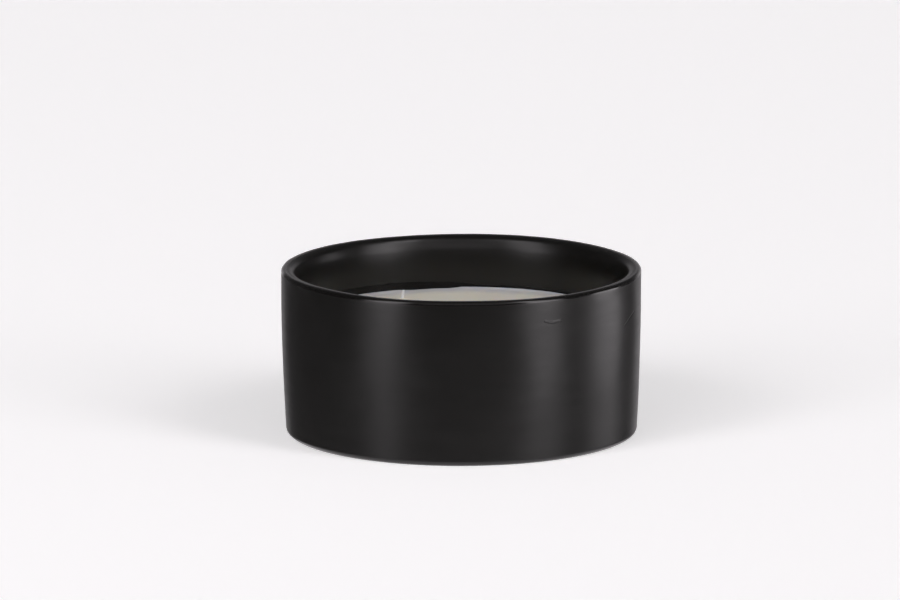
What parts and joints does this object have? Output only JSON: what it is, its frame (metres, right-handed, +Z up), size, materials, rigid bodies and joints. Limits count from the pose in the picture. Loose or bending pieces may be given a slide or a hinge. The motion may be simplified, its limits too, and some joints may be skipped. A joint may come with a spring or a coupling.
{
  "type": "poured bowl candle",
  "caption": "Low, wide ceramic bowl with a rounded rim, filled with poured wax around short braided wicks on metal tabs.",
  "frame": {"origin": "centre of the foot ring's underside, on the surface that the bowl stands on", "axes": "+Z up through the bowl's open mouth, -Y towards the viewer, +X to the viewer's right"},
  "size_m": [0.15, 0.15, 0.0693],
  "materials": {
    "glaze": "satin",
    "wax": "satin",
    "cotton": "matte",
    "tinplate": "satin",
    "foam": "matte"
  },
  "bodies": {
    "root": {"bowl": "glaze", "wax_fill": "wax", "wick_1": "cotton", "wick_tab_1": "tinplate", "wick_pad_1": "foam", "wick_2": "cotton", "wick_tab_2": "tinplate", "wick_pad_2": "foam", "wick_3": "cotton", "wick_tab_3": "tinplate", "wick_pad_3": "foam"}
  },
  "joints": []
}
